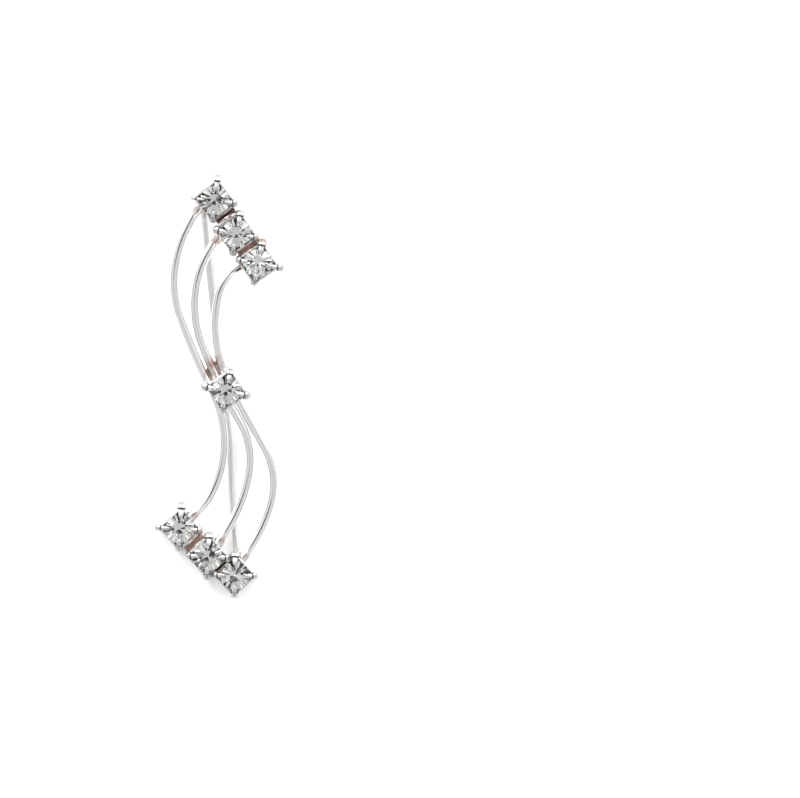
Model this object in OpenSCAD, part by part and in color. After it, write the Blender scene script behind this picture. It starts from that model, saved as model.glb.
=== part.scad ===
// Ear climber: seven clear stones in square claw cups, soldered to three bent wires, with a bent ear pin.
// It lies on its back as it rests on a table: front up, long side along Y, the lower row of cups flat.
// Lengths are in millimetres. The tables hold lengths as shares of the front's span and turns in degrees.

/* [Front] */
// height of the front from the centre of its first stone to the centre of its last stone
front_span = 39.6; // [39:0.1:40.2]
// thickness of the three bent wires of the front
wire_d = 0.9; // [0.82:0.02:0.92]
// how far each wire runs on, straight, into the wall of its cup
wire_root = 0.8; // [0.75:0.05:0.9]

/* [Claw cups] */
// width of a square cup over its walls
cup_side = 3.3; // [3.25:0.05:3.4]
// thickness of the walls of a cup
cup_wall = 0.25; // [0.22:0.01:0.3]
// thickness of the floor of a cup
cup_floor = 0.3; // [0.25:0.05:0.4]
// height of the walls of a cup
cup_height = 1.7; // [1.6:0.05:1.8]
// height of the wire's centre above the back of a cup of the top row
cup_wire_height = 1.1; // [1:0.05:1.15]
// how deep the middle cup sinks into the wires that it sits on
cup_sink = 0.26; // [0.2:0.02:0.3]
// thickness of a claw's post
claw_d = 0.8; // [0.74:0.02:0.86]
// thickness of the tongue that each claw lays on its stone
tongue_d = 0.5; // [0.44:0.02:0.54]
// length of that tongue from the post's middle to its round tip
tongue_reach = 1.05; // [0.9:0.05:1.1]

/* [Stones] */
// width of a stone over its girdle
stone_d = 3.1; // [3.04:0.02:3.16]
// height of the stone's girdle above the walls of its cup
girdle_lift = 0.14; // [0.12:0.02:0.2]
// clearance between a stone and the metal that holds it
stone_gap = 0.04; // [0.03:0.01:0.06]

/* [Solder] */
// width of the solder strip between two neighbouring cups
strip_width = 2.2; // [1.8:0.1:2.4]
// height of the top of that strip above the back of the cups
strip_height = 1.1; // [0.9:0.05:1.2]
// how far the strips and pads of solder reach into the metal that they join
solder_bite = 0.12; // [0.1:0.01:0.16]
// width of the pad of solder that holds the ear pin under the first cup
pin_pad_d = 1.7; // [1.6:0.05:1.8]

/* [Ear pin] */
// thickness of the ear pin
pin_d = 0.64; // [0.6:0.02:0.7]
// radius of the U bend behind the first cup, at the wire's centre
pin_bend_r = 1.5; // [1.45:0.05:1.6]
// length of the pin's straight upper leg under the first cup
pin_leg = 0.9; // [0.8:0.05:1]
// angle by which the long leg rises from the bend to the tip, so that only the bend touches the table
pin_rise = 0.2; // [0.15:0.05:0.3]
// length of the straight round-ended tip of the pin
pin_tip = 0.9; // [0.8:0.1:1]

/* [Hidden] */
$fn = 16;

// the cups from the top one down, each with its place as shares of the span and the turn of its sides
CUPS = [ // x, y, turn
  [-0.002, 0.492, -52],
  [0.055, 0.404, -56],
  [0.112, 0.325, -56],
  [0.028, -0.011, -57],
  [-0.096, -0.384, -49],
  [-0.022, -0.458, -48],
  [0.049, -0.508, -46],
];

// where each wire starts, as shares of the span, and the way it heads there
WIRE_STARTS = [ // x, y, heading
  [-0.0455, 0.469, -124.6],
  [0.003, 0.387, -127.7],
  [0.0645, 0.3175, -146.5],
];
// the bends of each wire from its top cup to its lower cup: length as a share of the span, turn
WIRE_BENDS = [
  [[0.160, 24], [0.142, 30], [0.220, 7], [0.276, -53], [0.080, -27]],
  [[0.294, 59], [0.226, 9], [0.152, -41], [0.187, -26]],
  [[0.105, 44], [0.245, 41], [0.185, 0], [0.155, -44], [0.160, -23]],
];

// where the long leg of the ear pin leaves the bend, as shares of the span, and its heading
PIN_START = [-0.033, 0.464, -85.8];
// the gentle bends of its long leg: length as a share of the span, turn
PIN_BENDS = [[0.556, 4.2], [0.088, -6.6], [0.235, 3.6]];

// the seam between two bends, and how far the sleeve that fills it stands out
seam = 0.02;

// shares of the stone's width that give its cut
table_share = 0.56;
crown_share = 0.165;
pavilion_share = 0.43;
girdle_share = 0.03;
culet_share = 0.06;
half_table_share = 0.585;
half_culet_share = 0.1;
half_girdle_share = 1.005;

// heights of the wires' centre plane and of the pin's legs while the piece lies on its back
pin_z = pin_d / 2 + seam;
pin_top_z = pin_z + 2 * pin_bend_r;
// the first wire enters the lower row this high, so that the pin clears the wires that it passes under
low_wire_z = 1.36;
low_y = -0.362 * front_span;
pin_y = PIN_START[1] * front_span;
// the front's pitch follows from the pin's bend: the back of the first cup rests on the upper leg
rise_span = pin_y - low_y;
back_z = pin_top_z + pin_d / 2 - solder_bite;
front_pitch = asin((back_z - low_wire_z) / sqrt(pow(rise_span, 2) + pow(cup_wire_height, 2)))
  + atan(cup_wire_height / rise_span);
front_lift = low_wire_z - low_y * sin(front_pitch);

stone_r = stone_d / 2;
crown_h = crown_share * stone_d;
pavilion_h = pavilion_share * stone_d;
girdle_h = girdle_share * stone_d;
girdle_z = cup_height + girdle_lift;
pocket = cup_side - 2 * cup_wall;
// the posts stand on the corners of the cup, their middles inside them by this share of their thickness
claw_inset_share = 0.35;
claw_out = cup_side / sqrt(2) - claw_inset_share * claw_d;
claw_top = girdle_z + girdle_h;
// how far a claw's tongue is folded over, from upright
tongue_fold = 66;
// how far the seat of a stone keeps its full width below and above the girdle, and how far it is cleared upwards
seat_below = 0.1;
seat_above = 0.05;
seat_clear = 1;
// the pad under the first cup: its middle from the cup's middle, how far it hangs down, and its thickness
pin_pad_place = [-0.95, -0.75];
pin_pad_drop = 0.36;
pin_pad_h = 0.5;
// half the angle between two of eight facets, and an octagon's corner radius for a given flat radius
half_facet = 180 / 8;
oct = 1 / cos(half_facet);
// puts the middle of the whole outline at the origin
middle = [-0.3, 0.275];

// heading and place at the end of the first n bends of a wire
function heading_after(bends, n, start) = n == 0 ? start : heading_after(bends, n - 1, start) + bends[n - 1][1];
function chord(l, t, h) = t == 0 ? l * [cos(h), sin(h)]
  : l * 180 / (PI * t) * [sin(h + t) - sin(h), cos(h) - cos(h + t)];
function place_after(bends, n, p, start) = n == 0 ? p
  : place_after(bends, n - 1, p, start)
    + chord(bends[n - 1][0] * front_span, bends[n - 1][1], heading_after(bends, n - 1, start));

// one bend of a wire: starts at the origin along +X and turns left by a positive angle;
// a seam is left at both of its ends, which the sleeve at each joint fills
module bend(l, t, d) {
  r = t == 0 ? 0 : abs(l * 180 / (PI * t));
  e = abs(t) * seam / l;
  if (t == 0) {
    translate([seam, 0, 0]) rotate([0, 90, 0]) cylinder(d = d, h = l - 2 * seam);
  } else if (t > 0) {
    translate([0, r, 0]) rotate([0, 0, e - 90])
      rotate_extrude(angle = t - 2 * e) translate([r, 0]) circle(d = d);
  } else {
    translate([0, -r, 0]) rotate([0, 0, 90 + t + e])
      rotate_extrude(angle = -t - 2 * e) translate([r, 0]) circle(d = d);
  }
}

module joint(d) {
  translate([-d / 6, 0, 0]) rotate([0, 90, 0]) cylinder(d = d + 2 * seam, h = d / 3);
}

module along(bends, start, d) {
  for (i = [0 : len(bends) - 1])
    translate(place_after(bends, i, [0, 0], start)) rotate([0, 0, heading_after(bends, i, start)]) {
      bend(bends[i][0] * front_span, bends[i][1], d);
      if (i > 0) joint(d);
    }
}

// moves the whole piece so that the middle of its outline is at the origin
module laid() {
  translate(middle) children();
}

// the pitched plane of the front, its height zero at the wires' centres
module in_front() {
  translate([0, 0, front_lift]) rotate([front_pitch, 0, 0]) children();
}

// the place of each cup, height zero at its back: the top row and the middle in the front, the lower row flat
module at_cup(i) {
  x = CUPS[i][0] * front_span;
  y = CUPS[i][1] * front_span;
  if (i < 3) {
    in_front() translate([x, y, -cup_wire_height]) rotate([0, 0, CUPS[i][2]]) children();
  } else if (i == 3) {
    in_front() translate([x, y, wire_d / 2 - cup_sink]) rotate([0, 0, CUPS[i][2]]) children();
  } else {
    translate([x, y * cos(front_pitch), 0]) rotate([0, 0, CUPS[i][2]]) children();
  }
}

// a post with a round head, or a tongue with a round tip: one turned profile
module rod(d, h) {
  rotate_extrude() union() {
    square([d / 2, h]);
    intersection() {
      translate([0, h]) circle(d = d);
      translate([0, h]) square([d, d]);
    }
  }
}

module claws() {
  for (a = [45 : 90 : 315]) rotate([0, 0, a]) {
    translate([claw_out, 0, 0]) rod(claw_d, claw_top);
    translate([claw_out, 0, claw_top]) rotate([0, -tongue_fold, 0]) rod(tongue_d, tongue_reach);
  }
}

module cup_block() {
  translate([-cup_side / 2, -cup_side / 2, 0]) cube([cup_side, cup_side, cup_height]);
}

// what is taken out of a cup: the square pocket and the seat that clears the stone all round
module cup_room() {
  translate([-pocket / 2, -pocket / 2, cup_floor]) cube([pocket, pocket, cup_height]);
  g = stone_gap;
  culet_z = girdle_z - pavilion_h;
  table_z = girdle_z + girdle_h + crown_h;
  table_r = stone_r * table_share * oct;
  rotate_extrude() polygon([
    [0, culet_z - g], [stone_r * culet_share + g, culet_z - g],
    [stone_r + g, girdle_z - seat_below - g], [stone_r + g, girdle_z + girdle_h + seat_above + g],
    [table_r + g, table_z + g], [table_r + g, table_z + seat_clear], [0, table_z + seat_clear]
  ]);
}

// the strip of solder between two cups of the same row, in the frame of the row
module strip(a, b, flat) {
  turn = (CUPS[a][2] + CUPS[b][2]) / 2;
  pa = [CUPS[a][0], CUPS[a][1] * flat] * front_span;
  pb = [CUPS[b][0], CUPS[b][1] * flat] * front_span;
  run = (pb - pa) * [cos(turn), sin(turn)];
  l = run - cup_side + 2 * solder_bite;
  translate((pa + pb) / 2) rotate([0, 0, turn])
    translate([-l / 2, -strip_width / 2, solder_bite]) cube([l, strip_width, strip_height - solder_bite]);
}

// the straight root of a wire in its cup
module root() {
  joint(wire_d);
  translate([seam, 0, 0]) rotate([0, 90, 0]) cylinder(d = wire_d, h = wire_root - seam);
}

module front_wire(i) {
  start = WIRE_STARTS[i];
  n = len(WIRE_BENDS[i]);
  end = place_after(WIRE_BENDS[i], n, [0, 0], start[2]);
  in_front() translate([start[0], start[1]] * front_span) {
    along(WIRE_BENDS[i], start[2], wire_d);
    rotate([0, 0, start[2] + 180]) root();
    translate(end) rotate([0, 0, heading_after(WIRE_BENDS[i], n, start[2])]) root();
  }
}

module ear_pin() {
  n = len(PIN_BENDS);
  translate([PIN_START[0] * front_span, pin_y, pin_z]) rotate([-pin_rise, 0, 0]) {
    along(PIN_BENDS, PIN_START[2], pin_d);
    translate(place_after(PIN_BENDS, n, [0, 0], PIN_START[2]))
      rotate([0, 0, heading_after(PIN_BENDS, n, PIN_START[2])]) {
        joint(pin_d);
        rotate([0, 90, 0]) translate([0, 0, seam]) rod(pin_d, pin_tip);
      }
    rotate([0, 0, PIN_START[2]]) {
      joint(pin_d);
      rotate([90, 0, 0]) mirror([1, 0, 0]) bend(PI * pin_bend_r, 180, pin_d);
      translate([0, 0, 2 * pin_bend_r]) {
        joint(pin_d);
        translate([seam, 0, 0]) rotate([0, 90, 0]) cylinder(d = pin_d, h = pin_leg);
      }
    }
  }
}

// the pad of solder under the first cup that takes the end of the pin's upper leg
module pin_pad() {
  at_cup(0) rotate([0, 0, -CUPS[0][2]])
    translate([pin_pad_place[0], pin_pad_place[1], -pin_pad_drop]) cylinder(d = pin_pad_d, h = pin_pad_h);
}

module soldered_frame() {
  color([0.78, 0.78, 0.8]) laid() difference() {
    union() {
      for (i = [0 : 6]) at_cup(i) {
        cup_block();
        claws();
      }
      in_front() translate([0, 0, -cup_wire_height]) {
        strip(0, 1, 1);
        strip(1, 2, 1);
      }
      strip(4, 5, cos(front_pitch));
      strip(5, 6, cos(front_pitch));
      for (i = [0 : 2]) front_wire(i);
      pin_pad();
      ear_pin();
    }
    for (i = [0 : 6]) at_cup(i) cup_room();
  }
}

// an octagonal cut: flat radius r1 below and r2 above, its flats turned by a
module octagon_cut(r1, r2, h, a) {
  rotate([0, 0, a]) cylinder(r1 = r1 * oct, r2 = r2 * oct, h = h, $fn = 8);
}

// a round stone: eight main facets and eight halves above the girdle, the same below, a table and a small culet
module stone_cut() {
  under = pavilion_h + girdle_h;
  intersection() {
    translate([0, 0, girdle_z - pavilion_h]) cylinder(r = stone_r, h = under + crown_h);
    translate([0, 0, girdle_z - pavilion_h]) union() {
      intersection() {
        octagon_cut(stone_r * culet_share, stone_r, pavilion_h, half_facet);
        octagon_cut(stone_r * half_culet_share, stone_r * half_girdle_share, pavilion_h, 0);
      }
      translate([0, 0, pavilion_h]) intersection() {
        octagon_cut(stone_r, stone_r, girdle_h, half_facet);
        octagon_cut(stone_r * half_girdle_share, stone_r * half_girdle_share, girdle_h, 0);
      }
      translate([0, 0, under]) intersection() {
        octagon_cut(stone_r, stone_r * table_share, crown_h, half_facet);
        octagon_cut(stone_r * half_girdle_share, stone_r * half_table_share, crown_h, 0);
      }
    }
  }
}

module stone(i) {
  laid() at_cup(i) stone_cut();
}

module stone_1() { color([0.85, 0.88, 0.9]) stone(0); }
module stone_2() { color([0.85, 0.88, 0.9]) stone(1); }
module stone_3() { color([0.85, 0.88, 0.9]) stone(2); }
module stone_4() { color([0.85, 0.88, 0.9]) stone(3); }
module stone_5() { color([0.85, 0.88, 0.9]) stone(4); }
module stone_6() { color([0.85, 0.88, 0.9]) stone(5); }
module stone_7() { color([0.85, 0.88, 0.9]) stone(6); }

soldered_frame();
stone_1();
stone_2();
stone_3();
stone_4();
stone_5();
stone_6();
stone_7();
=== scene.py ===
"""Ear climber: seven clear stones in square claw cups, soldered to three bent wires, with a bent ear pin.

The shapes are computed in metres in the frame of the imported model: front up, long side along Y.
The tables of cups, wires and pin hold places and lengths as shares of the front's span, and turns in degrees.
"""

import math

import bpy
import numpy as np
from bpy.props import FloatProperty, FloatVectorProperty, PointerProperty
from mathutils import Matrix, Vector


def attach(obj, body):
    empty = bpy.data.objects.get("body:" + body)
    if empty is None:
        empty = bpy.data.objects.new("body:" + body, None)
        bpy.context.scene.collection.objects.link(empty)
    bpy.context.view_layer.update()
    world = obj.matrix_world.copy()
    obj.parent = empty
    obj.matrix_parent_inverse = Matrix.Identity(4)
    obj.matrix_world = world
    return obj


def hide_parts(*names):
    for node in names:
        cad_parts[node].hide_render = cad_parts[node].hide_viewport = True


bl_info = {
    "name": "Ear climber",
    "version": (1, 0, 0),
    "blender": (4, 5, 0),
    "location": "3D View > Sidebar > Ear climber",
    "description": "Builds the dressed ear climber piece by piece over its packed solids",
    "category": "Object",
}

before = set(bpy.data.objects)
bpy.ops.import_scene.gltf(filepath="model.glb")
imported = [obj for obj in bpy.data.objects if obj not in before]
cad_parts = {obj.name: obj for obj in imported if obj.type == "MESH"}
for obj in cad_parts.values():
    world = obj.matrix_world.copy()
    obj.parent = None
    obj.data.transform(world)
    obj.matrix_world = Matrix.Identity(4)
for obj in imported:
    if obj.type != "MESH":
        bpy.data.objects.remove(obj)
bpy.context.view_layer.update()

MM = 0.001
FRAME_NODE = "soldered_frame"

# the cups from the top one down: place as shares of the span, turn of the sides
CUPS = [
    (-0.002, 0.492, -52),
    (0.055, 0.404, -56),
    (0.112, 0.325, -56),
    (0.028, -0.011, -57),
    (-0.096, -0.384, -49),
    (-0.022, -0.458, -48),
    (0.049, -0.508, -46),
]
# how each stone was set: turn about its axis, lean, and the way that it leans, in degrees
SEATS = [
    (5, 3.2, 200),
    (14, 2.2, 60),
    (31, 3.6, 310),
    (22, 3.0, 120),
    (9, 3.4, 20),
    (38, 2.6, 250),
    (17, 3.5, 160),
]
TOP_ROW = (0, 1, 2)
MIDDLE_CUP = 3
# the claws that stand off from their cup, by cup and quarter: how far off in mm, and their width as a share
# of a plain claw's
STANDING_CLAWS = {
    (0, 1): (0.42, 1.0), (0, 2): (0.34, 0.55), (0, 0): (0.12, 1.0),
    (1, 1): (0.20, 1.1), (1, 2): (0.16, 1.1),
    (2, 0): (0.44, 0.95), (2, 1): (0.24, 1.2),
    (3, 2): (0.34, 1.15), (3, 0): (0.22, 1.1),
    (4, 1): (0.50, 1.15), (4, 2): (0.40, 0.8),
    (5, 1): (0.24, 1.15), (5, 3): (0.16, 1.0),
    (6, 1): (0.22, 1.2), (6, 0): (0.16, 0.9),
}
# the soldered pairs of cups: first, second, how far the solder bulges from the wall of each and the height of
# the flux, both in mm, and how dark the flux and the cup walls facing it are made: painted shade in the deep
# gap
JOINED = [
    (0, 1, 0.16, 0.56, 0.7, 0.65),
    (1, 2, 0.05, 0.05, 1.35, 0.0),
    (4, 5, 0.24, 0.20, 1.35, 0.0),
    (5, 6, 0.0, 0.0, 0.7, 1.0),
]

# each wire: where it starts as shares of the span, the way it heads there, its bends from the top cup to the
# lower cup as (length as a share of the span, turn), and those two cups
WIRES = {
    "wire_left": (
        (-0.0455, 0.469), -124.6,
        [(0.160, 24), (0.142, 30), (0.220, 7), (0.276, -53), (0.080, -27)],
        (0, 4),
    ),
    "wire_middle": (
        (0.003, 0.387), -127.7,
        [(0.294, 59), (0.226, 9), (0.152, -41), (0.187, -26)],
        (1, 5),
    ),
    "wire_right": (
        (0.0645, 0.3175), -146.5,
        [(0.105, 44), (0.245, 41), (0.185, 0), (0.155, -44), (0.160, -23)],
        (2, 6),
    ),
}
# the long leg of the ear pin in the same way, from its bend to its straight tip
PIN_START = (-0.033, 0.464)
PIN_HEADING = -85.8
PIN_BENDS = [(0.556, 4.2), (0.088, -6.6), (0.235, 3.6)]

# the pad of solder that holds the pin under the first cup: its middle from the middle of the cup's back,
# along the table's axes, its length, half width and flatness
PAD_PLACE = np.array([-0.95, -0.75, -0.12]) * MM
PAD_LENGTH = 1.3 * MM
PAD_HALF_WIDTH = 0.75 * MM
PAD_FLATNESS = 0.55
# the pool of solder that gathers the wires above the middle cup: its middle from the cup's, the turn of its
# long axis, its length, half width and flatness, and how much darker its colour is made
POOL_PLACE = np.array([-0.75, 1.3, -0.12]) * MM
POOL_TURN = -64
POOL_LENGTH = 3.5 * MM
POOL_HALF_WIDTH = 1.35 * MM
POOL_FLATNESS = 0.16
POOL_DARKENING = 0.5
# more places where metal is coppery: cup, the place in the cup's frame in mm, and the reach in mm
COPPERY = [
    (3, (-2.7, 0.1, -0.3), 1.3),
    (0, (-1.9, -0.4, 1.2), 1.0),
    (2, (-1.697, 1.697, 2.0), 0.6),
]
WIRE_END_REACH = 0.75 * MM
STRIP_REACH = 0.9 * MM
# the solder fillet at a wire's end: how much it swells the wire, and how far it reaches
FILLET_SWELL = 0.38
FILLET_REACH = 0.8 * MM

# a claw's path: how far below the girdle it starts to fold, the lengths of the fold and of the tip, and its
# heading in degrees at the foot, the fold, the tip's root and the tip's end
CLAW_FOLD_BELOW = 0.25 * MM
CLAW_FOLD = 0.52 * MM
CLAW_TIP = 0.75 * MM
CLAW_HEADINGS = [90, 90, 158, 160]
# a claw's sections: which of those four places, how far past it in mm, radius as a share of the claw's width
CLAW_SECTIONS = [
    (0, 0.0, 0.4625),
    (1, -0.3, 0.4625),
    (1, 0.1, 0.5125),
    (2, 0.0, 0.525),
    (2, 0.08, 0.3),
    (3, -0.3, 0.2875),
    (3, 0.0, 0.1625),
]
CLAW_FLATNESS = 0.8
# painted shade on a claw: a dark line in the crease at the tip's root and a greyer head
CREASE_PAST = 0.05 * MM
CREASE_REACH = 0.06 * MM
HEAD_PAST = 0.15 * MM
HEAD_REACH = 0.4 * MM
HEAD_SHADE = 0.24
# a cup: the rounding of its edges, how square its outline is, and how deep the painted shade lies on its
# walls that face a dark gap
CUP_EDGE = 0.06 * MM
CUP_SQUARENESS = 9.0
GAP_SHADE_DEPTH = 0.07 * MM
# the bright solder on a cup's wall: its half length, and its middle height as a share of the cup's height
LIP_HALF_LENGTH = 1.32 * MM
LIP_HEIGHT = 0.46
# a stone's cut, as shares of its width: the depth of the back, the girdle's thickness, the table's height
# above the girdle's lower edge, and the widths of the culet and of the table
BACK = 0.43
GIRDLE = 0.03
TABLE_RISE = 0.195
CULET = 0.06
TABLE = 0.56


def length(name, default, description):
    """A length in metres that the user may change."""
    return FloatProperty(
        name=name, description=description, default=default, unit="LENGTH", subtype="DISTANCE", precision=5
    )


def colour(name, default, description):
    """A colour that the user may change."""
    return FloatVectorProperty(
        name=name, description=description, default=default, size=3, subtype="COLOR", min=0, max=1
    )


class ClimberSizes(bpy.types.PropertyGroup):
    """The driving sizes of the metal and the stones."""

    front_span: length("Front span", 39.6 * MM, "Height of the front from its first stone to its last")
    wire_d: length("Wire", 0.9 * MM, "Thickness of the three wires of the front")
    wire_sink: length("Wire sink", 0.1 * MM, "How deep a wire's ends are sunk into the walls of its cups")
    cup_side: length("Cup", 3.3 * MM, "Width of a square cup over its walls")
    cup_wall: length("Cup wall", 0.25 * MM, "Thickness of the walls of a cup")
    cup_floor: length("Cup floor", 0.3 * MM, "Thickness of the floor of a cup")
    cup_height: length("Cup height", 1.7 * MM, "Height of the walls of a cup")
    cup_wire_height: length("Wire in the cup", 1.1 * MM, "Height of the wires above the top cups' backs")
    cup_sink: length("Cup sink", 0.26 * MM, "How deep the middle cup sinks into the wires")
    claw_d: length("Claw", 0.8 * MM, "Thickness of a claw's post")
    claw_inset: length("Claw inset", 0.28 * MM, "How far a claw's middle stands in from the cup's corner")
    stone_d: length("Stone", 3.1 * MM, "Width of a stone over its girdle")
    girdle_lift: length("Girdle lift", 0.14 * MM, "Height of the girdle above the walls of the cup")
    strip_width: length("Solder width", 2.2 * MM, "Width of the solder between two cups")
    strip_height: length("Solder height", 1.1 * MM, "Height of that solder above the backs of the cups")
    pin_d: length("Ear pin", 0.64 * MM, "Thickness of the ear pin")
    pin_bend_r: length("Pin bend", 1.5 * MM, "Radius of the U bend of the pin at its centre")
    pin_leg: length("Pin leg", 0.9 * MM, "Length of the pin's upper leg under the first cup")
    pin_tip: length("Pin tip", 0.9 * MM, "Length of the straight tip of the pin")
    pin_rise: FloatProperty(
        name="Pin rise", description="Angle of the pin's long leg above the table", default=math.radians(0.2),
        subtype="ANGLE",
    )


class ClimberFinish(bpy.types.PropertyGroup):
    """The colours of the metal and the stones, and how dull the metal is."""

    silver: colour("Silver", (0.90, 0.895, 0.89), "Colour of the bright plated wire")
    dullness: FloatProperty(
        name="Dullness", description="Roughness of the bright plated wire", default=0.12, min=0, max=1
    )
    # the darker silver of the cups, the claws and the ear pin is painted shade: a shaded copy of the bright
    # silver
    shaded: colour("Worn silver", (0.72, 0.715, 0.705), "Colour of the worn metal of the cups and the pin")
    shaded_dullness: FloatProperty(
        name="Worn dullness", description="Roughness of the worn metal", default=0.36, min=0, max=1
    )
    copper: colour("Copper", (0.52, 0.35, 0.30), "Colour of the tarnish at the solder joints")
    flux: colour("Flux", (0.19, 0.12, 0.10), "Colour of the burnt flux between the cups")
    # the dark colour that points are mixed towards: painted shade in the claws' creases, on their heads and
    # in the gaps between cups, and the solder pool's darker tone
    darkening: colour("Dirt", (0.05, 0.035, 0.03), "Colour of the dirt in creases and of soot")
    glass: colour("Glass", (0.97, 0.98, 0.97), "Colour of the glass of the stones")
    foil: colour("Foil", (0.93, 0.93, 0.92), "Colour of the mirror foil behind the stones")


class ClimberStage(bpy.types.PropertyGroup):
    """The camera, the floor and the light."""

    pixels_per_mm: FloatProperty(
        name="Pixels per mm", description="Scale of the picture at the floor", default=9.5
    )
    origin_px: FloatVectorProperty(
        name="Origin", description="Pixel of the span's middle in the picture", default=(216.5, 385.0), size=2
    )
    camera_height: length("Camera height", 1100 * MM, "Height of the camera above the floor")
    floor: colour("Floor", (0.95, 0.95, 0.95), "Colour of the floor")
    glow: FloatProperty(
        name="Glow", description="Light of the floor, a white sheet lit from below", default=0.22, min=0
    )
    light: FloatProperty(
        name="Light", description="Strength of the white tent round the object", default=6.6, min=0
    )


# the tent's grey at its hem, by the sine of the height over the horizon
HEM = [(0.0, 0.22), (0.12, 0.26), (0.32, 0.8), (0.42, 1.0)]
# the grey roof of the tent and its dark openings, as ovals seen from below: the x and y of the direction to
# the middle, the turn of the long axis, its half length and half width, and the grey (for the roof, its fade)
ROOF = (0.02, -0.2, 0, 1.8, 0.75, [(0.0, 0.098), (0.40, 0.115), (0.75, 0.155), (0.9, 0.28), (1.0, 0.9)])
OPENINGS = [
    (-0.35, -0.04, -25, 0.26, 0.085, 0.02),
    (0.05, 0.21, 0, 0.20, 0.13, 0.01),
    (0.08, 0.60, 15, 0.34, 0.17, 0.02),
    (-0.05, -0.76, -10, 0.30, 0.15, 0.02),
    (0.03, -0.50, 0, 0.18, 0.08, 0.02),
    (0.28, 0.15, 20, 0.14, 0.07, 0.02),
    (-0.22, -0.44, -20, 0.12, 0.05, 0.04),
    (0.0, 1.0, 0, 0.60, 0.17, 0.04),
    (0.0, -1.0, 0, 0.60, 0.17, 0.04),
]
# bright windows in the roof, in the same way
WINDOWS = [
    (-0.02, 0.05, 10, 0.09, 0.07, 0.3),
    (0.13, -0.43, 30, 0.09, 0.06, 0.5),
    (-0.32, 0.27, 20, 0.11, 0.07, 0.5),
]
# where the edge of an opening or window starts and ends, as shares of the oval's radius
OVAL_EDGE = (0.8, 1.15)
IMAGE_WIDTH = 800
IMAGE_HEIGHT = 798
FLOOR_HALF = 3.0
# moves the whole piece so that the middle of its outline is at the origin
MIDDLE = np.array([-0.3, 0.275, 0.0]) * MM
# how far the pin's long leg stays above the table
SEAM = 0.02 * MM
# how deep solder goes into what it joins
SOLDER_BITE = 0.12 * MM
# where the wires' plane starts to rise from the lower row: its height, and its Y as a share of the span
LOW_WIRE_Z = 1.36 * MM
LOW_Y_SHARE = -0.362
# the radius of a closed end: in effect a point
POINT_RADIUS = 1e-7
# the sockets of a colour mix node
MIX_A, MIX_B, MIX_RESULT = 6, 7, 2


def sizes():
    """The driving sizes, as they are set now."""
    return bpy.context.scene.climber_sizes


def finish():
    """The colours and the dullness, as they are set now."""
    return bpy.context.scene.climber_finish


def band(run, middle, reach, power=2):
    """A soft band round the middle: exp(-|distance / reach|^power)."""
    return np.exp(-(np.abs((run - middle) / reach) ** power))


def squarish(angle, power):
    """The two coordinates of a rounded square: sign(cos a) |cos a|^power, and the same of sin a."""
    c, s = np.cos(angle), np.sin(angle)
    return np.sign(c) * np.abs(c) ** power, np.sign(s) * np.abs(s) ** power


def turn_z(points, degrees):
    """The points turned about Z."""
    c, s = math.cos(math.radians(degrees)), math.sin(math.radians(degrees))
    x, y, z = np.moveaxis(points, -1, 0)
    return np.stack([c * x - s * y, s * x + c * y, z], -1)


def front_pose():
    """The front's pitch in degrees and its lift: the back of the first cup rests on the pin's upper leg."""
    s = sizes()
    low_y = LOW_Y_SHARE * s.front_span
    rise_span = PIN_START[1] * s.front_span - low_y
    back_z = s.pin_d / 2 + SEAM + 2 * s.pin_bend_r + s.pin_d / 2 - SOLDER_BITE
    reach = math.hypot(rise_span, s.cup_wire_height)
    pitch = math.asin((back_z - LOW_WIRE_Z) / reach) + math.atan(s.cup_wire_height / rise_span)
    return math.degrees(pitch), LOW_WIRE_Z - low_y * math.sin(pitch)


def in_front(points):
    """Points of the front's own plane, height zero at the wires' centres, pitched about X and lifted."""
    pitch, lift = front_pose()
    c, s = math.cos(math.radians(pitch)), math.sin(math.radians(pitch))
    x, y, z = np.moveaxis(points, -1, 0)
    return np.stack([x, c * y - s * z, s * y + c * z + lift], -1) + MIDDLE


def at_cup(i, points):
    """Points of a cup's own frame, height zero at its back, moved to the cup's place."""
    s = sizes()
    x, y, turn = CUPS[i]
    turned = turn_z(points, turn)
    place = np.array([x, y, 0.0]) * s.front_span
    if i in TOP_ROW:
        return in_front(turned + place - [0, 0, s.cup_wire_height])
    if i == MIDDLE_CUP:
        return in_front(turned + place + [0, 0, s.wire_d / 2 - s.cup_sink])
    place[1] *= math.cos(math.radians(front_pose()[0]))
    return turned + place + MIDDLE


def bent_line(start, heading, bends, before=0.0, after=0.0, count=400):
    """Centre line of a bent wire in its plane, its heading in radians and the run at each point.

    The heading turns evenly along each bend; the place is the running sum of the steps along the heading.
    """
    span = sizes().front_span
    lengths = np.array([before] + [b[0] * span for b in bends] + [after])
    turns = np.array([0.0] + [b[1] for b in bends] + [0.0])
    knots = np.concatenate([[0.0], np.cumsum(lengths)])
    headings = np.radians(heading + np.concatenate([[0.0], np.cumsum(turns)]))
    run = np.linspace(0.0, knots[-1], count)
    halfway = np.interp((run[1:] + run[:-1]) / 2, knots, headings)
    steps = np.stack([np.cos(halfway), np.sin(halfway)], -1) * np.diff(run)[:, None]
    line = np.concatenate([[[0.0, 0.0]], np.cumsum(steps, 0)])
    first = np.array(start) * span - before * np.array([math.cos(headings[0]), math.sin(headings[0])])
    return line + first, np.interp(run, knots, headings), run


def round_ends(run, radius, start=True):
    """Radius along a rod with domed ends: near an end it is the height of a circle at that distance.

    The far end is always domed, the first one only if asked for.
    """
    r = np.array(radius, float) * np.ones_like(run)
    if start:
        d = np.clip((run - run[0]) / r[0], 0, 1)
        r = r * np.sqrt(np.clip(1 - (1 - d) ** 2, 0, 1))
    d = np.clip((run[-1] - run) / r[-1], 0, 1)
    r = r * np.sqrt(np.clip(1 - (1 - d) ** 2, 0, 1))
    return np.maximum(r, POINT_RADIUS)


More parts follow.
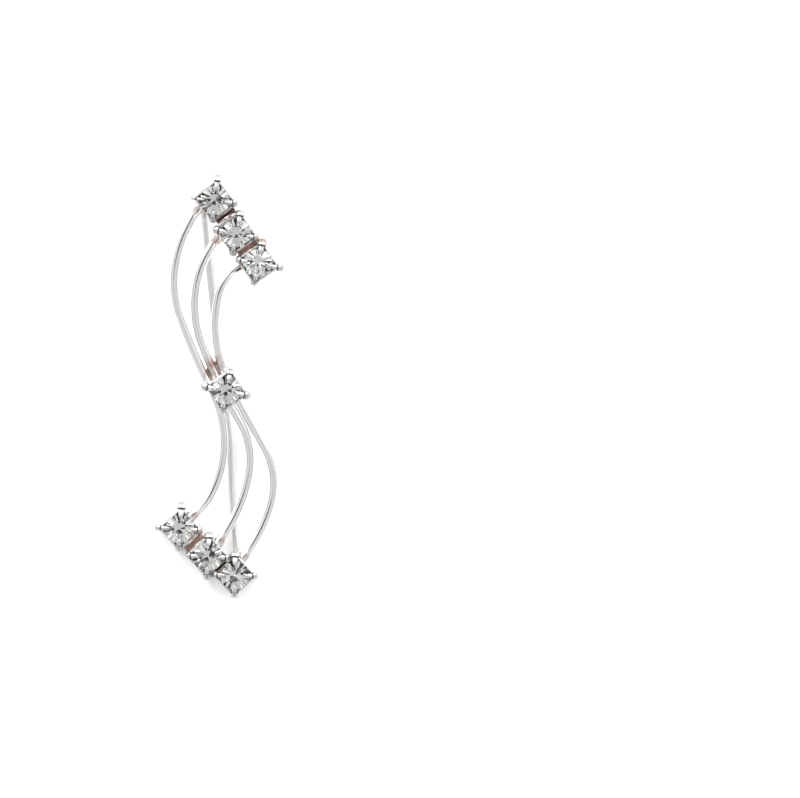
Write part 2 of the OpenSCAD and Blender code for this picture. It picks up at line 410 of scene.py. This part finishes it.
def carried(path, side, radius, count=24, flat=1.0):
    """A round profile carried along a path: path + radius (cos a side + flat sin a up), up square to both."""
    along = np.gradient(path, axis=0)
    along /= np.linalg.norm(along, axis=1, keepdims=True)
    side = side / np.linalg.norm(side, axis=-1, keepdims=True) * np.ones_like(path)
    up = np.cross(side, along)
    a = np.linspace(0, 2 * np.pi, count, endpoint=False)
    ring = np.cos(a)[None, :, None] * side[:, None] + flat * np.sin(a)[None, :, None] * up[:, None]
    return path[:, None] + np.asarray(radius)[:, None, None] * ring


def skin(rings):
    """Closed skin over a grid of rings: quads between neighbours, a fan at each end; faces point outwards."""
    rows, count = rings.shape[:2]
    points = np.vstack([rings.reshape(-1, 3), rings[0].mean(0), rings[-1].mean(0)])
    a = np.arange(count)
    b = np.roll(a, -1)
    base = (np.arange(rows - 1) * count)[:, None]
    quads = np.stack([base + a, base + b, base + count + b, base + count + a], -1).reshape(-1, 4)
    last = (rows - 1) * count
    fans = np.vstack([
        np.stack([np.full(count, rows * count), b, a], -1),
        np.stack([np.full(count, rows * count + 1), last + a, last + b], -1),
    ])
    p = points - points.mean(0)
    tris = np.vstack([quads[:, :3], quads[:, [0, 2, 3]], fans])
    volume = np.einsum("ij,ij->i", p[tris[:, 0]], np.cross(p[tris[:, 1]], p[tris[:, 2]])).sum()
    if volume < 0:
        quads, fans = quads[:, ::-1], fans[:, ::-1]
    return points, quads.tolist() + fans.tolist()


def solder_spots():
    """The places where metal is coppery from soldering: a point and its reach, one row each."""
    spots = []
    for start, heading, bends, _ in WIRES.values():
        line, _, _ = bent_line(start, heading, bends)
        ends = in_front(np.column_stack([line[[0, -1]], np.zeros(2)]))
        spots += [(point, WIRE_END_REACH) for point in ends]
    for a, b, *_ in JOINED:
        top = np.array([[0.0, 0.0, sizes().strip_height]])
        spots.append(((at_cup(a, top)[0] + at_cup(b, top)[0]) / 2, STRIP_REACH))
    for cup, place, reach in COPPERY:
        spots.append((at_cup(cup, np.array([place]) * MM)[0], reach * MM))
    return spots


def solder_share(points):
    """How coppery each point is: the largest of exp(-(distance / reach)^2) over the solder spots."""
    shares = [band(np.linalg.norm(points - spot, axis=1), 0.0, reach) for spot, reach in solder_spots()]
    return np.max(shares, axis=0)


def make_piece(name, parts, material, cad_node=FRAME_NODE, smooth=True):
    """Joins closed skins into one piece that rides on the body and stands for its CAD node.

    A part is its points, its faces and, where it has some, how dark each point is made: painted shade, or the
    solder pool's darker tone.
    """
    points = np.vstack([part[0] for part in parts])
    starts = np.cumsum([0] + [len(part[0]) for part in parts])
    faces = [[v + start for v in face] for part, start in zip(parts, starts) for face in part[1]]
    darkening = np.concatenate([part[2] if len(part) > 2 else np.zeros(len(part[0])) for part in parts])
    mesh = bpy.data.meshes.new(name)
    mesh.from_pydata(points.tolist(), [], faces)
    mesh.update()
    mesh.polygons.foreach_set("use_smooth", np.full(len(faces), smooth))
    share = mesh.attributes.new("solder", "FLOAT", "POINT")
    share.data.foreach_set("value", solder_share(points).astype(np.float32))
    # how dark each point is made: painted shade on the claws and in the gaps between cups, and the solder
    # pool's darker tone
    mesh.attributes.new("darkening", "FLOAT", "POINT").data.foreach_set("value", darkening.astype(np.float32))
    piece = bpy.data.objects.new(name, mesh)
    bpy.context.scene.collection.objects.link(piece)
    mesh.materials.append(material)
    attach(piece, "root")
    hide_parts(cad_node)
    return piece


def node(tree, kind, place=(0, 0), **values):
    """A new node with its properties set."""
    new = tree.nodes.new(kind)
    new.location = place
    for key, value in values.items():
        setattr(new, key, value)
    return new


def fill(target, values):
    """Sets inputs of a node by name."""
    for name, value in values.items():
        target.inputs[name].default_value = value


def noise(tree, place, scale, detail=2.0):
    """Noise over the piece's own coordinates."""
    where = node(tree, "ShaderNodeTexCoord", (place[0] - 200, place[1]))
    grains = node(tree, "ShaderNodeTexNoise", place)
    fill(grains, {"Scale": scale, "Detail": detail})
    tree.links.new(where.outputs["Object"], grains.inputs["Vector"])
    return grains.outputs["Fac"]


def ramp(tree, place, share, stops):
    """A colour ramp over the share, from (position, colour) stops."""
    colours = node(tree, "ShaderNodeValToRGB", place)
    elements = colours.color_ramp.elements
    elements[0].position = stops[0][0]
    elements[1].position = stops[-1][0]
    for position, _ in stops[1:-1]:
        elements.new(position)
    for element, (_, tone) in zip(elements, stops):
        element.color = (*tone, 1)
    tree.links.new(share, colours.inputs["Fac"])
    return colours.outputs["Color"]


def bumped(tree, shader, height, strength, depth):
    """Makes the surface look uneven by a height that changes over it."""
    bump = node(tree, "ShaderNodeBump", (-500, -450))
    fill(bump, {"Strength": strength, "Distance": depth})
    tree.links.new(height, bump.inputs["Height"])
    tree.links.new(bump.outputs["Normal"], shader.inputs["Normal"])


def darkened(tree, clean):
    """The clean colour mixed towards a dark colour by a point attribute: painted shade on the claws and in
    the gaps between cups, and the solder pool's darker tone.
    """
    darkening = node(tree, "ShaderNodeAttribute", (-700, 350), attribute_name="darkening")
    mix = node(tree, "ShaderNodeMix", (-400, 150), data_type="RGBA")
    mix.inputs[MIX_B].default_value = (*finish().darkening, 1)
    tree.links.new(darkening.outputs["Fac"], mix.inputs["Factor"])
    tree.links.new(clean, mix.inputs[MIX_A])
    return mix.outputs[MIX_RESULT]


def made(build):
    """The material named after the function that builds its nodes, built once."""
    material = bpy.data.materials.get(build.__name__)
    if material is None:
        material = bpy.data.materials.new(build.__name__)
        material.use_nodes = True
        build(material.node_tree, material.node_tree.nodes["Principled BSDF"])
    return material


def plated(tree, shader, tone, dullness):
    """Plated wire: a mirror with a faint ripple, coppery and duller in patches where solder was melted."""
    fill(shader, {"Metallic": 1.0})
    solder = node(tree, "ShaderNodeAttribute", (-900, 300), attribute_name="solder")
    patches = node(tree, "ShaderNodeMath", (-900, 80), operation="MULTIPLY")
    tree.links.new(noise(tree, (-1100, 0), 1400.0, 3.0), patches.inputs[0])
    tree.links.new(solder.outputs["Fac"], patches.inputs[1])
    share = patches.outputs[0]
    colours = ramp(tree, (-700, 80), share, [(0.12, tone), (0.50, finish().copper)])
    tree.links.new(darkened(tree, colours), shader.inputs["Base Color"])
    rough = node(tree, "ShaderNodeMapRange", (-700, -200))
    fill(rough, {"To Min": dullness, "To Max": dullness + 0.2})
    tree.links.new(share, rough.inputs["Value"])
    tree.links.new(rough.outputs["Result"], shader.inputs["Roughness"])
    bumped(tree, shader, noise(tree, (-1100, -400), 900.0), 0.05, 0.03 * MM)


def bright_silver(tree, shader):
    """The wires of the front and the solder on the cups' walls."""
    plated(tree, shader, finish().silver, finish().dullness)


def shaded_silver(tree, shader):
    """The cups, their claws and the ear pin, in a darker copy of the silver: painted shade."""
    plated(tree, shader, finish().shaded, finish().shaded_dullness)


def burnt_solder(tree, shader):
    """Burnt flux and copper in the gaps between the cups: dark, patchy and half dull."""
    fill(shader, {"Metallic": 0.7, "Roughness": 0.5})
    patches = noise(tree, (-900, 0), 2600.0, 4.0)
    colours = ramp(tree, (-700, 0), patches, [(0.35, finish().flux), (0.75, finish().copper)])
    tree.links.new(darkened(tree, colours), shader.inputs["Base Color"])
    bumped(tree, shader, patches, 0.5, 0.04 * MM)


def clear_glass(_, shader):
    """Clear cut glass."""
    tone = (*finish().glass, 1)
    fill(shader, {"Base Color": tone, "Transmission Weight": 1.0, "Roughness": 0.0, "IOR": 1.58})


def white_floor(_, shader):
    """A white sheet that glows a little and doesn't shine."""
    stage = bpy.context.scene.climber_stage
    fill(shader, {
        "Base Color": (*stage.floor, 1),
        "Emission Color": (1, 1, 1, 1),
        "Emission Strength": stage.glow,
        "Roughness": 0.9,
        "Specular IOR Level": 0.0,
    })


def mirror_foil(_, shader):
    """The mirror foil on the back of a stone."""
    fill(shader, {"Base Color": (*finish().foil, 1), "Metallic": 1.0, "Roughness": 0.03})


def root_run(cup, point, heading):
    """How far a wire runs on along its heading until its end is sunk into the wall of its cup.

    The wall is square to the cup's Y: the run is the distance to it over the heading's share along Y.
    """
    s = sizes()
    x, y, turn = CUPS[cup]
    turn = math.radians(turn)
    offset = np.array(point) - np.array([x, y]) * s.front_span
    distance = abs(offset @ [-math.sin(turn), math.cos(turn)]) - s.cup_side / 2 + s.wire_sink
    return max(distance, 0) / abs(math.sin(heading - turn))


class CLIMBER_OT_wires(bpy.types.Operator):
    """Builds the three bent wires of the front, each with a fillet of solder at both of its cups"""

    bl_idname = "climber.wires"
    bl_label = "Wires"

    def execute(self, context):
        s = sizes()
        for name, (start, heading, bends, cups) in WIRES.items():
            line, headings, _ = bent_line(start, heading, bends)
            before = root_run(cups[0], line[0], headings[0])
            after = root_run(cups[1], line[-1], headings[-1])
            line, headings, run = bent_line(start, heading, bends, before, after, count=500)
            to_end = np.minimum(run, run[-1] - run)
            radius = s.wire_d / 2 * (1 + FILLET_SWELL * band(to_end, 0.0, FILLET_REACH))
            path = in_front(np.column_stack([line, np.zeros(len(line))]))
            flat_side = np.column_stack([-np.sin(headings), np.cos(headings), np.zeros(len(line))])
            side = in_front(flat_side) - in_front(np.zeros((1, 3)))
            make_piece(name, [skin(carried(path, side, radius, 32))], made(bright_silver))
        return {"FINISHED"}


def pad():
    """The oval pad of solder under the first cup: rings of radius sin a along its length, at cos a."""
    a = np.linspace(0, np.pi, 24)
    run = np.column_stack([-PAD_LENGTH / 2 * np.cos(a), np.zeros(len(a)), np.zeros(len(a))])
    path = at_cup(0, turn_z(run + PAD_PLACE, -CUPS[0][2]))
    radius = np.maximum(PAD_HALF_WIDTH * np.sin(a), POINT_RADIUS)
    return skin(carried(path, np.array([0.0, 1.0, 0.0]), radius, 28, flat=PAD_FLATNESS))


class CLIMBER_OT_ear_pin(bpy.types.Operator):
    """Builds the ear pin with its pad of solder: upper leg, U bend and long bowed leg with a round tip"""

    bl_idname = "climber.ear_pin"
    bl_label = "Ear pin"

    def execute(self, context):
        s = sizes()
        tip = s.pin_tip + s.pin_d / 2
        line, headings, run = bent_line(PIN_START, PIN_HEADING, PIN_BENDS, after=tip, count=420)
        low = s.pin_d / 2 + SEAM
        leg = np.column_stack([line, low + run * math.tan(s.pin_rise)])
        back = np.array([math.cos(headings[0]), math.sin(headings[0]), 0.0])
        turn = np.linspace(np.pi, 0, 48)[:-1]
        bend = np.append(line[0], low + s.pin_bend_r) - s.pin_bend_r * np.sin(turn)[:, None] * back
        bend[:, 2] -= s.pin_bend_r * np.cos(turn)
        high = np.append(line[0], low + 2 * s.pin_bend_r)
        upper = high + np.linspace(s.pin_leg, 0, 12)[:-1, None] * back
        path = np.vstack([upper, bend, leg]) + MIDDLE
        h = np.concatenate([np.full(len(upper) + len(bend), headings[0]), headings])
        side = np.column_stack([-np.sin(h), np.cos(h), np.zeros(len(h))])
        whole = np.concatenate([[0], np.cumsum(np.linalg.norm(np.diff(path, axis=0), axis=1))])
        radius = round_ends(whole, s.pin_d / 2, start=False)
        make_piece("ear_pin", [skin(carried(path, side, radius, 28)), pad()], made(shaded_silver))
        return {"FINISHED"}


def cup_shell():
    """One cup: a rounded square carried up the outside, over the rim and down inside.

    The rounded square's reach at angle a is 1 / (|cos a|^p + |sin a|^p)^(1/p).
    """
    s = sizes()
    half, wall, top, floor = s.cup_side / 2, s.cup_wall, s.cup_height, s.cup_floor
    edge = CUP_EDGE
    profile = np.array([
        (half - edge, 0), (half - edge / 3, edge / 3), (half, edge),
        (half, top - edge), (half - edge / 3, top - edge / 3), (half - edge, top),
        (half - wall + edge, top), (half - wall + edge / 3, top - edge / 3), (half - wall, top - edge),
        (half - wall, floor + 2 * edge), (half - wall - 2 * edge, floor),
    ])
    a = np.linspace(0, 2 * np.pi, 96, endpoint=False)
    p = CUP_SQUARENESS
    outline = 1 / (np.abs(np.cos(a)) ** p + np.abs(np.sin(a)) ** p) ** (1 / p)
    flat = np.stack([outline * np.cos(a), outline * np.sin(a)], -1)
    rings = np.concatenate([
        profile[:, None, :1] * flat[None],
        np.broadcast_to(profile[:, None, 1:], (len(profile), len(a), 1)),
    ], -1)
    return skin(rings)


def gap_shaded(i):
    """A cup's shell with painted shade on the outside of the walls that face a darkened gap of flux."""
    points, faces = cup_shell()
    gap_shade = np.zeros(len(points))
    for first, second, *_, dark in JOINED:
        toward = (i == first) - (i == second)
        gap_shade[toward * points[:, 0] > sizes().cup_side / 2 - GAP_SHADE_DEPTH] = dark
    return points, faces, gap_shade


def claw(quarter, off=0.05, width=1.0):
    """One claw in a cup's frame: a post at the corner, its round head folded over the stone, and its tip.

    Its path goes up the post, leaning outwards by sin squared, and turns inwards along an arc; the radius
    swells at the fold and shrinks to the tip. The third value darkens the head and its crease: painted shade.
    """
    s = sizes()
    off = off * MM
    out = s.cup_side / math.sqrt(2) - s.claw_inset
    girdle_top = s.cup_height + s.girdle_lift + GIRDLE * s.stone_d
    knots = np.cumsum([0.0, girdle_top - CLAW_FOLD_BELOW, CLAW_FOLD, CLAW_TIP])
    _, fold, root, end = knots
    run = np.concatenate([np.linspace(0, fold, 12)[:-1], np.linspace(fold, end, 44)])
    heading = np.interp(run, knots, np.radians(CLAW_HEADINGS))
    halfway = (heading[1:] + heading[:-1]) / 2
    steps = np.stack([np.cos(halfway), np.sin(halfway)], -1) * np.diff(run)[:, None]
    flat = np.concatenate([[[0.0, 0.0]], np.cumsum(steps, 0)])
    up_post = np.clip(run / fold, 0, 1)
    lean = off * np.sin(np.pi / 2 * up_post) ** 2
    inward = flat[:, 0] * (1 - off / flat[-1, 0])
    path = np.column_stack([out + lean + inward, np.zeros(len(run)), flat[:, 1]])
    at = [knots[knot] + past * MM for knot, past, _ in CLAW_SECTIONS]
    radii = [share * s.claw_d for *_, share in CLAW_SECTIONS]
    radius = np.interp(run, at, radii) * (1 + (width - 1) * up_post)
    radius = round_ends(run, radius, start=False)
    rings = carried(path, np.array([0.0, 1.0, 0.0]), radius, 28, flat=CLAW_FLATNESS)
    points, faces = skin(turn_z(rings, 45 + 90 * quarter))
    # painted shade: a dark line in the crease at the tip's root and a greyer head
    crease = band(run, root + CREASE_PAST, CREASE_REACH)
    head = HEAD_SHADE * band(run, fold + HEAD_PAST, HEAD_REACH, 4)
    return points, faces, np.append(np.repeat(np.maximum(crease, head), 28), [0.0, 0.0])


class CLIMBER_OT_cups(bpy.types.Operator):
    """Builds the seven square cups, each with four claws folded over its stone"""

    bl_idname = "climber.cups"
    bl_label = "Claw cups"

    def execute(self, context):
        for i in range(len(CUPS)):
            claws = [claw(quarter, *STANDING_CLAWS.get((i, quarter), ())) for quarter in range(4)]
            placed = [(at_cup(i, points), *rest) for points, *rest in [gap_shaded(i), *claws]]
            make_piece(f"cup_{i + 1}", placed, made(shaded_silver))
        return {"FINISHED"}


def bar(a, b, height):
    """The flux between two cups: rounded squares carried from wall to wall, lower and narrower at mid-way.

    At u from -1 to 1 along it, its width is 1.08 + 0.06 u^2 and its height 0.88 + 0.12 u^2 of the full one.
    """
    s = sizes()
    ends = np.array([at_cup(i, np.zeros((1, 3)))[0] for i in (a, b)])
    tops = np.array([at_cup(i, np.array([[0.0, 0.0, height]]))[0] for i in (a, b)])
    run = ends[1] - ends[0]
    side = at_cup(a, np.array([[0.0, 1.0, 0.0]]))[0] - at_cup(a, np.zeros((1, 3)))[0]
    rise = (tops - ends).mean(0)
    u = np.linspace(-1, 1, 25)[:, None, None]
    half = (np.linalg.norm(run) - s.cup_side) / 2 + SOLDER_BITE
    across, upward = squarish(np.linspace(0, 2 * np.pi, 40, endpoint=False)[None, :, None], 0.5)
    middle = ends.mean(0) + rise / 2 + u * half * run / np.linalg.norm(run)
    wide = s.strip_width / 2 * (1.08 + 0.06 * u**2)
    tall = rise / 2 * (0.88 + 0.12 * u**2)
    return skin(middle + wide * across * side + tall * upward)


def lip(cup, toward, bulge):
    """Solder run up the wall of a cup: a lens in plan, bulging 1 - v^2 from the wall, with a flat top."""
    s = sizes()
    v = np.linspace(-1, 1, 33)[:, None]
    across, upward = squarish(np.linspace(0, 2 * np.pi, 32, endpoint=False)[None], 0.45)
    out = np.where(across > 0, bulge * MM * (1 - v**2) + 0.01 * MM, 0.5 * s.cup_wall) * across
    tall = LIP_HEIGHT * s.cup_height * (1 - 0.25 * v**2)
    points = np.stack([
        toward * (s.cup_side / 2 + out),
        LIP_HALF_LENGTH * v * np.ones_like(out),
        tall * (1 + upward) + 0.05 * MM,
    ], -1)
    return skin(at_cup(cup, points))


def pool():
    """The flat oval pool of solder between and under the wires: rings of radius sin a along it, at cos a."""
    x, y, _ = CUPS[MIDDLE_CUP]
    middle = np.array([x, y, 0.0]) * sizes().front_span + POOL_PLACE
    a = np.linspace(0, np.pi, 33)
    axis, side = turn_z(np.eye(3)[:2], POOL_TURN)
    path = middle - POOL_LENGTH / 2 * np.cos(a)[:, None] * axis
    radius = np.maximum(POOL_HALF_WIDTH * np.sin(a), POINT_RADIUS)
    points, faces = skin(in_front(carried(path, side, radius, 40, flat=POOL_FLATNESS)))
    return points, faces, np.full(len(points), POOL_DARKENING)


class CLIMBER_OT_solder(bpy.types.Operator):
    """Builds the solder between neighbouring cups, burnt flux and bright lips, and the middle cup's pool"""

    bl_idname = "climber.solder"
    bl_label = "Solder"

    def execute(self, context):
        for number, (a, b, bulge_a, bulge_b, height, gap_shade) in enumerate(JOINED):
            points, faces = bar(a, b, height * MM)
            # the burnt flux darkened further: painted shade at the bottom of the deep gap between the cups
            flux = (points, faces, np.full(len(points), gap_shade))
            make_piece(f"flux_{number + 1}", [flux], made(burnt_solder))
            if bulge_a > 0:
                lips = [lip(a, 1, bulge_a), lip(b, -1, bulge_b)]
                make_piece(f"solder_{number + 1}", lips, made(bright_silver))
        make_piece("solder_middle", [pool()], made(bright_silver))
        return {"FINISHED"}


def seated(points, i):
    """The stone as it was set by hand: turned about its axis and leaning a little about its girdle."""
    s = sizes()
    turn, lean, toward = SEATS[i]
    middle = np.array([0.0, 0.0, s.cup_height + s.girdle_lift])
    points = turn_z(points - middle, turn - toward)
    c, k = math.cos(math.radians(lean)), math.sin(math.radians(lean))
    x, y, z = np.moveaxis(points, -1, 0)
    return turn_z(np.stack([c * x + k * z, y, c * z - k * x], -1), toward) + middle


def cut_stone():
    """A round cut: the table, eight mains and eight halves above the girdle, and the same below with a culet.

    Mains are quads between an edge of the table and one of the girdle; halves are the triangles between them.
    """
    s = sizes()
    d = s.stone_d
    girdle = s.cup_height + s.girdle_lift
    heights = girdle + d * np.array([-BACK, 0.0, GIRDLE, TABLE_RISE])
    small, large = CULET * d / 2, TABLE * d / 2 / math.cos(math.pi / 8)
    corner = np.radians(np.arange(8) * 45 + 22.5)
    edge = np.radians(np.arange(16) * 22.5 + 11.25)
    rings = [(corner, small), (edge, d / 2), (edge, d / 2), (corner, large)]
    points = np.vstack([
        np.column_stack([r * np.cos(a), r * np.sin(a), np.full(len(a), z)])
        for (a, r), z in zip(rings, heights)
    ])
    k = np.arange(8)
    n = (k + 1) % 8
    low, high, top = 8, 24, 40
    before, after = (2 * k + 1) % 16, (2 * k + 2) % 16
    halves_below = np.stack([k, low + (2 * k + 1) % 16, low + 2 * k], -1)
    mains_below = np.stack([k, n, low + after, low + before], -1)
    j = np.arange(16)
    belt = np.stack([low + j, low + (j + 1) % 16, high + (j + 1) % 16, high + j], -1)
    halves_above = np.stack([high + 2 * k, high + (2 * k + 1) % 16, top + k], -1)
    mains_above = np.stack([high + before, high + after, top + n, top + k], -1)
    faces = (
        [list(range(7, -1, -1))] + halves_below.tolist() + mains_below[:, ::-1].tolist()
        + belt.tolist() + halves_above.tolist() + mains_above.tolist() + [list(range(top, top + 8))]
    )
    return points, faces


class CLIMBER_OT_stones(bpy.types.Operator):
    """Builds the seven cut stones: clear glass above, mirror foil on the facets of the back"""

    bl_idname = "climber.stones"
    bl_label = "Stones"

    def execute(self, context):
        points, faces = cut_stone()
        culet, halves, mains = 1, 8, 8
        for i in range(len(CUPS)):
            name = f"stone_{i + 1}"
            part = (at_cup(i, seated(points, i)), faces)
            piece = make_piece(f"cut_{name}", [part], made(clear_glass), name, smooth=False)
            piece.data.materials.append(made(mirror_foil))
            foiled = np.arange(len(faces)) < culet + halves + mains
            piece.data.polygons.foreach_set("material_index", foiled.astype(np.int32))
        return {"FINISHED"}


def greys(stops):
    """Stops of a ramp from (position, grey) pairs."""
    return [(position, (grey, grey, grey)) for position, grey in stops]


def oval(tree, direction, shape, stops):
    """Greys by how far a direction lies from the middle of an oval, as a share of the oval's radius.

    A ramp ends at 1, so the oval is mapped at twice its size and the positions of the stops are halved.
    """
    x, y, turn, half_length, half_width = shape
    mapping = node(tree, "ShaderNodeMapping", (-1300, 0), vector_type="TEXTURE")
    fill(mapping, {
        "Location": (x, y, 0.0),
        "Rotation": (0.0, 0.0, math.radians(turn)),
        "Scale": (2 * half_length, 2 * half_width, 1e6),
    })
    tree.links.new(direction, mapping.inputs["Vector"])
    distance = node(tree, "ShaderNodeVectorMath", (-1100, 0), operation="LENGTH")
    tree.links.new(mapping.outputs["Vector"], distance.inputs[0])
    halved = [(position / 2, grey) for position, grey in stops]
    return ramp(tree, (-900, 0), distance.outputs["Value"], greys(halved))


def blended(tree, first, second, kind):
    """Two colours blended: their product, or the lighter of the two."""
    mix = node(tree, "ShaderNodeMix", (-400, 0), data_type="RGBA", blend_type=kind)
    mix.inputs["Factor"].default_value = 1.0
    tree.links.new(first, mix.inputs[MIX_A])
    tree.links.new(second, mix.inputs[MIX_B])
    return mix.outputs[MIX_RESULT]


class CLIMBER_OT_stage(bpy.types.Operator):
    """Sets the camera straight above the photographed field, a white floor and a white tent of light"""

    bl_idname = "climber.stage"
    bl_label = "Stage"

    def execute(self, context):
        stage = context.scene.climber_stage
        self.camera(context, stage)
        self.floor(context, stage)
        self.tent(context, stage)
        context.scene.view_settings.view_transform = "Standard"
        return {"FINISHED"}

    def camera(self, context, stage):
        """A camera straight above the middle of the picture, at the photograph's scale."""
        scale = stage.pixels_per_mm / MM
        centre = Vector((
            (IMAGE_WIDTH / 2 - stage.origin_px[0]) / scale + MIDDLE[0],
            (stage.origin_px[1] - IMAGE_HEIGHT / 2) / scale + MIDDLE[1],
            0.0,
        ))
        data = bpy.data.cameras.new("camera")
        data.sensor_width = 36.0
        data.lens = data.sensor_width * stage.camera_height / (IMAGE_WIDTH / scale)
        data.clip_start = 0.01
        data.clip_end = 10.0
        camera = bpy.data.objects.new("camera", data)
        camera.location = centre + Vector((0, 0, stage.camera_height))
        context.scene.collection.objects.link(camera)
        context.scene.camera = camera

    def floor(self, context, stage):
        """A plain white sheet, lit a little from below."""
        half = FLOOR_HALF
        corners = [(-half, -half, 0), (half, -half, 0), (half, half, 0), (-half, half, 0)]
        mesh = bpy.data.meshes.new("floor")
        mesh.from_pydata(corners, [], [(0, 1, 2, 3)])
        floor = bpy.data.objects.new("floor", mesh)
        context.scene.collection.objects.link(floor)
        mesh.materials.append(made(white_floor))

    def tent(self, context, stage):
        """A white tent: darker at its hem, with a grey roof, and dark openings and bright windows in it."""
        world = bpy.data.worlds.new("tent")
        context.scene.world = world
        world.use_nodes = True
        tree = world.node_tree
        background = tree.nodes["Background"]
        background.inputs["Strength"].default_value = stage.light
        direction = node(tree, "ShaderNodeTexCoord", (-1500, 0)).outputs["Generated"]
        height = node(tree, "ShaderNodeSeparateXYZ", (-1300, 300))
        tree.links.new(direction, height.inputs[0])
        light = ramp(tree, (-1000, 300), height.outputs["Z"], greys(HEM))
        light = blended(tree, light, oval(tree, direction, ROOF[:5], ROOF[5]), "MULTIPLY")
        start, end = OVAL_EDGE
        for *shape, grey in OPENINGS:
            hole = oval(tree, direction, shape, [(start, grey), (end, 1.0)])
            light = blended(tree, light, hole, "MULTIPLY")
        for *shape, grey in WINDOWS:
            window = oval(tree, direction, shape, [(start, grey), (end, 0.0)])
            light = blended(tree, light, window, "LIGHTEN")
        tree.links.new(light, background.inputs["Color"])


class CLIMBER_PT_panel(bpy.types.Panel):
    """Lists the sizes, the colours, the stage and the steps"""

    bl_idname = "CLIMBER_PT_panel"
    bl_label = "Ear climber"
    bl_space_type = "VIEW_3D"
    bl_region_type = "UI"
    bl_category = "Ear climber"

    def draw(self, context):
        scene = context.scene
        for group in (scene.climber_sizes, scene.climber_finish, scene.climber_stage):
            column = self.layout.column(align=True)
            for name in group.__annotations__:
                column.prop(group, name)
        for operator in OPERATORS:
            self.layout.operator(operator.bl_idname)


OPERATORS = (
    CLIMBER_OT_stage,
    CLIMBER_OT_wires,
    CLIMBER_OT_ear_pin,
    CLIMBER_OT_cups,
    CLIMBER_OT_solder,
    CLIMBER_OT_stones,
)
CLASSES = (ClimberSizes, ClimberFinish, ClimberStage, *OPERATORS, CLIMBER_PT_panel)


def register():
    for cls in CLASSES:
        bpy.utils.register_class(cls)
    bpy.types.Scene.climber_sizes = PointerProperty(type=ClimberSizes)
    bpy.types.Scene.climber_finish = PointerProperty(type=ClimberFinish)
    bpy.types.Scene.climber_stage = PointerProperty(type=ClimberStage)


def unregister():
    del bpy.types.Scene.climber_stage
    del bpy.types.Scene.climber_finish
    del bpy.types.Scene.climber_sizes
    for cls in reversed(CLASSES):
        bpy.utils.unregister_class(cls)


def main():
    """Builds the scene."""
    register()
    bpy.ops.climber.stage()
    bpy.ops.climber.wires()
    bpy.ops.climber.ear_pin()
    bpy.ops.climber.cups()
    bpy.ops.climber.solder()
    bpy.ops.climber.stones()


if __name__ == "__main__":
    main()
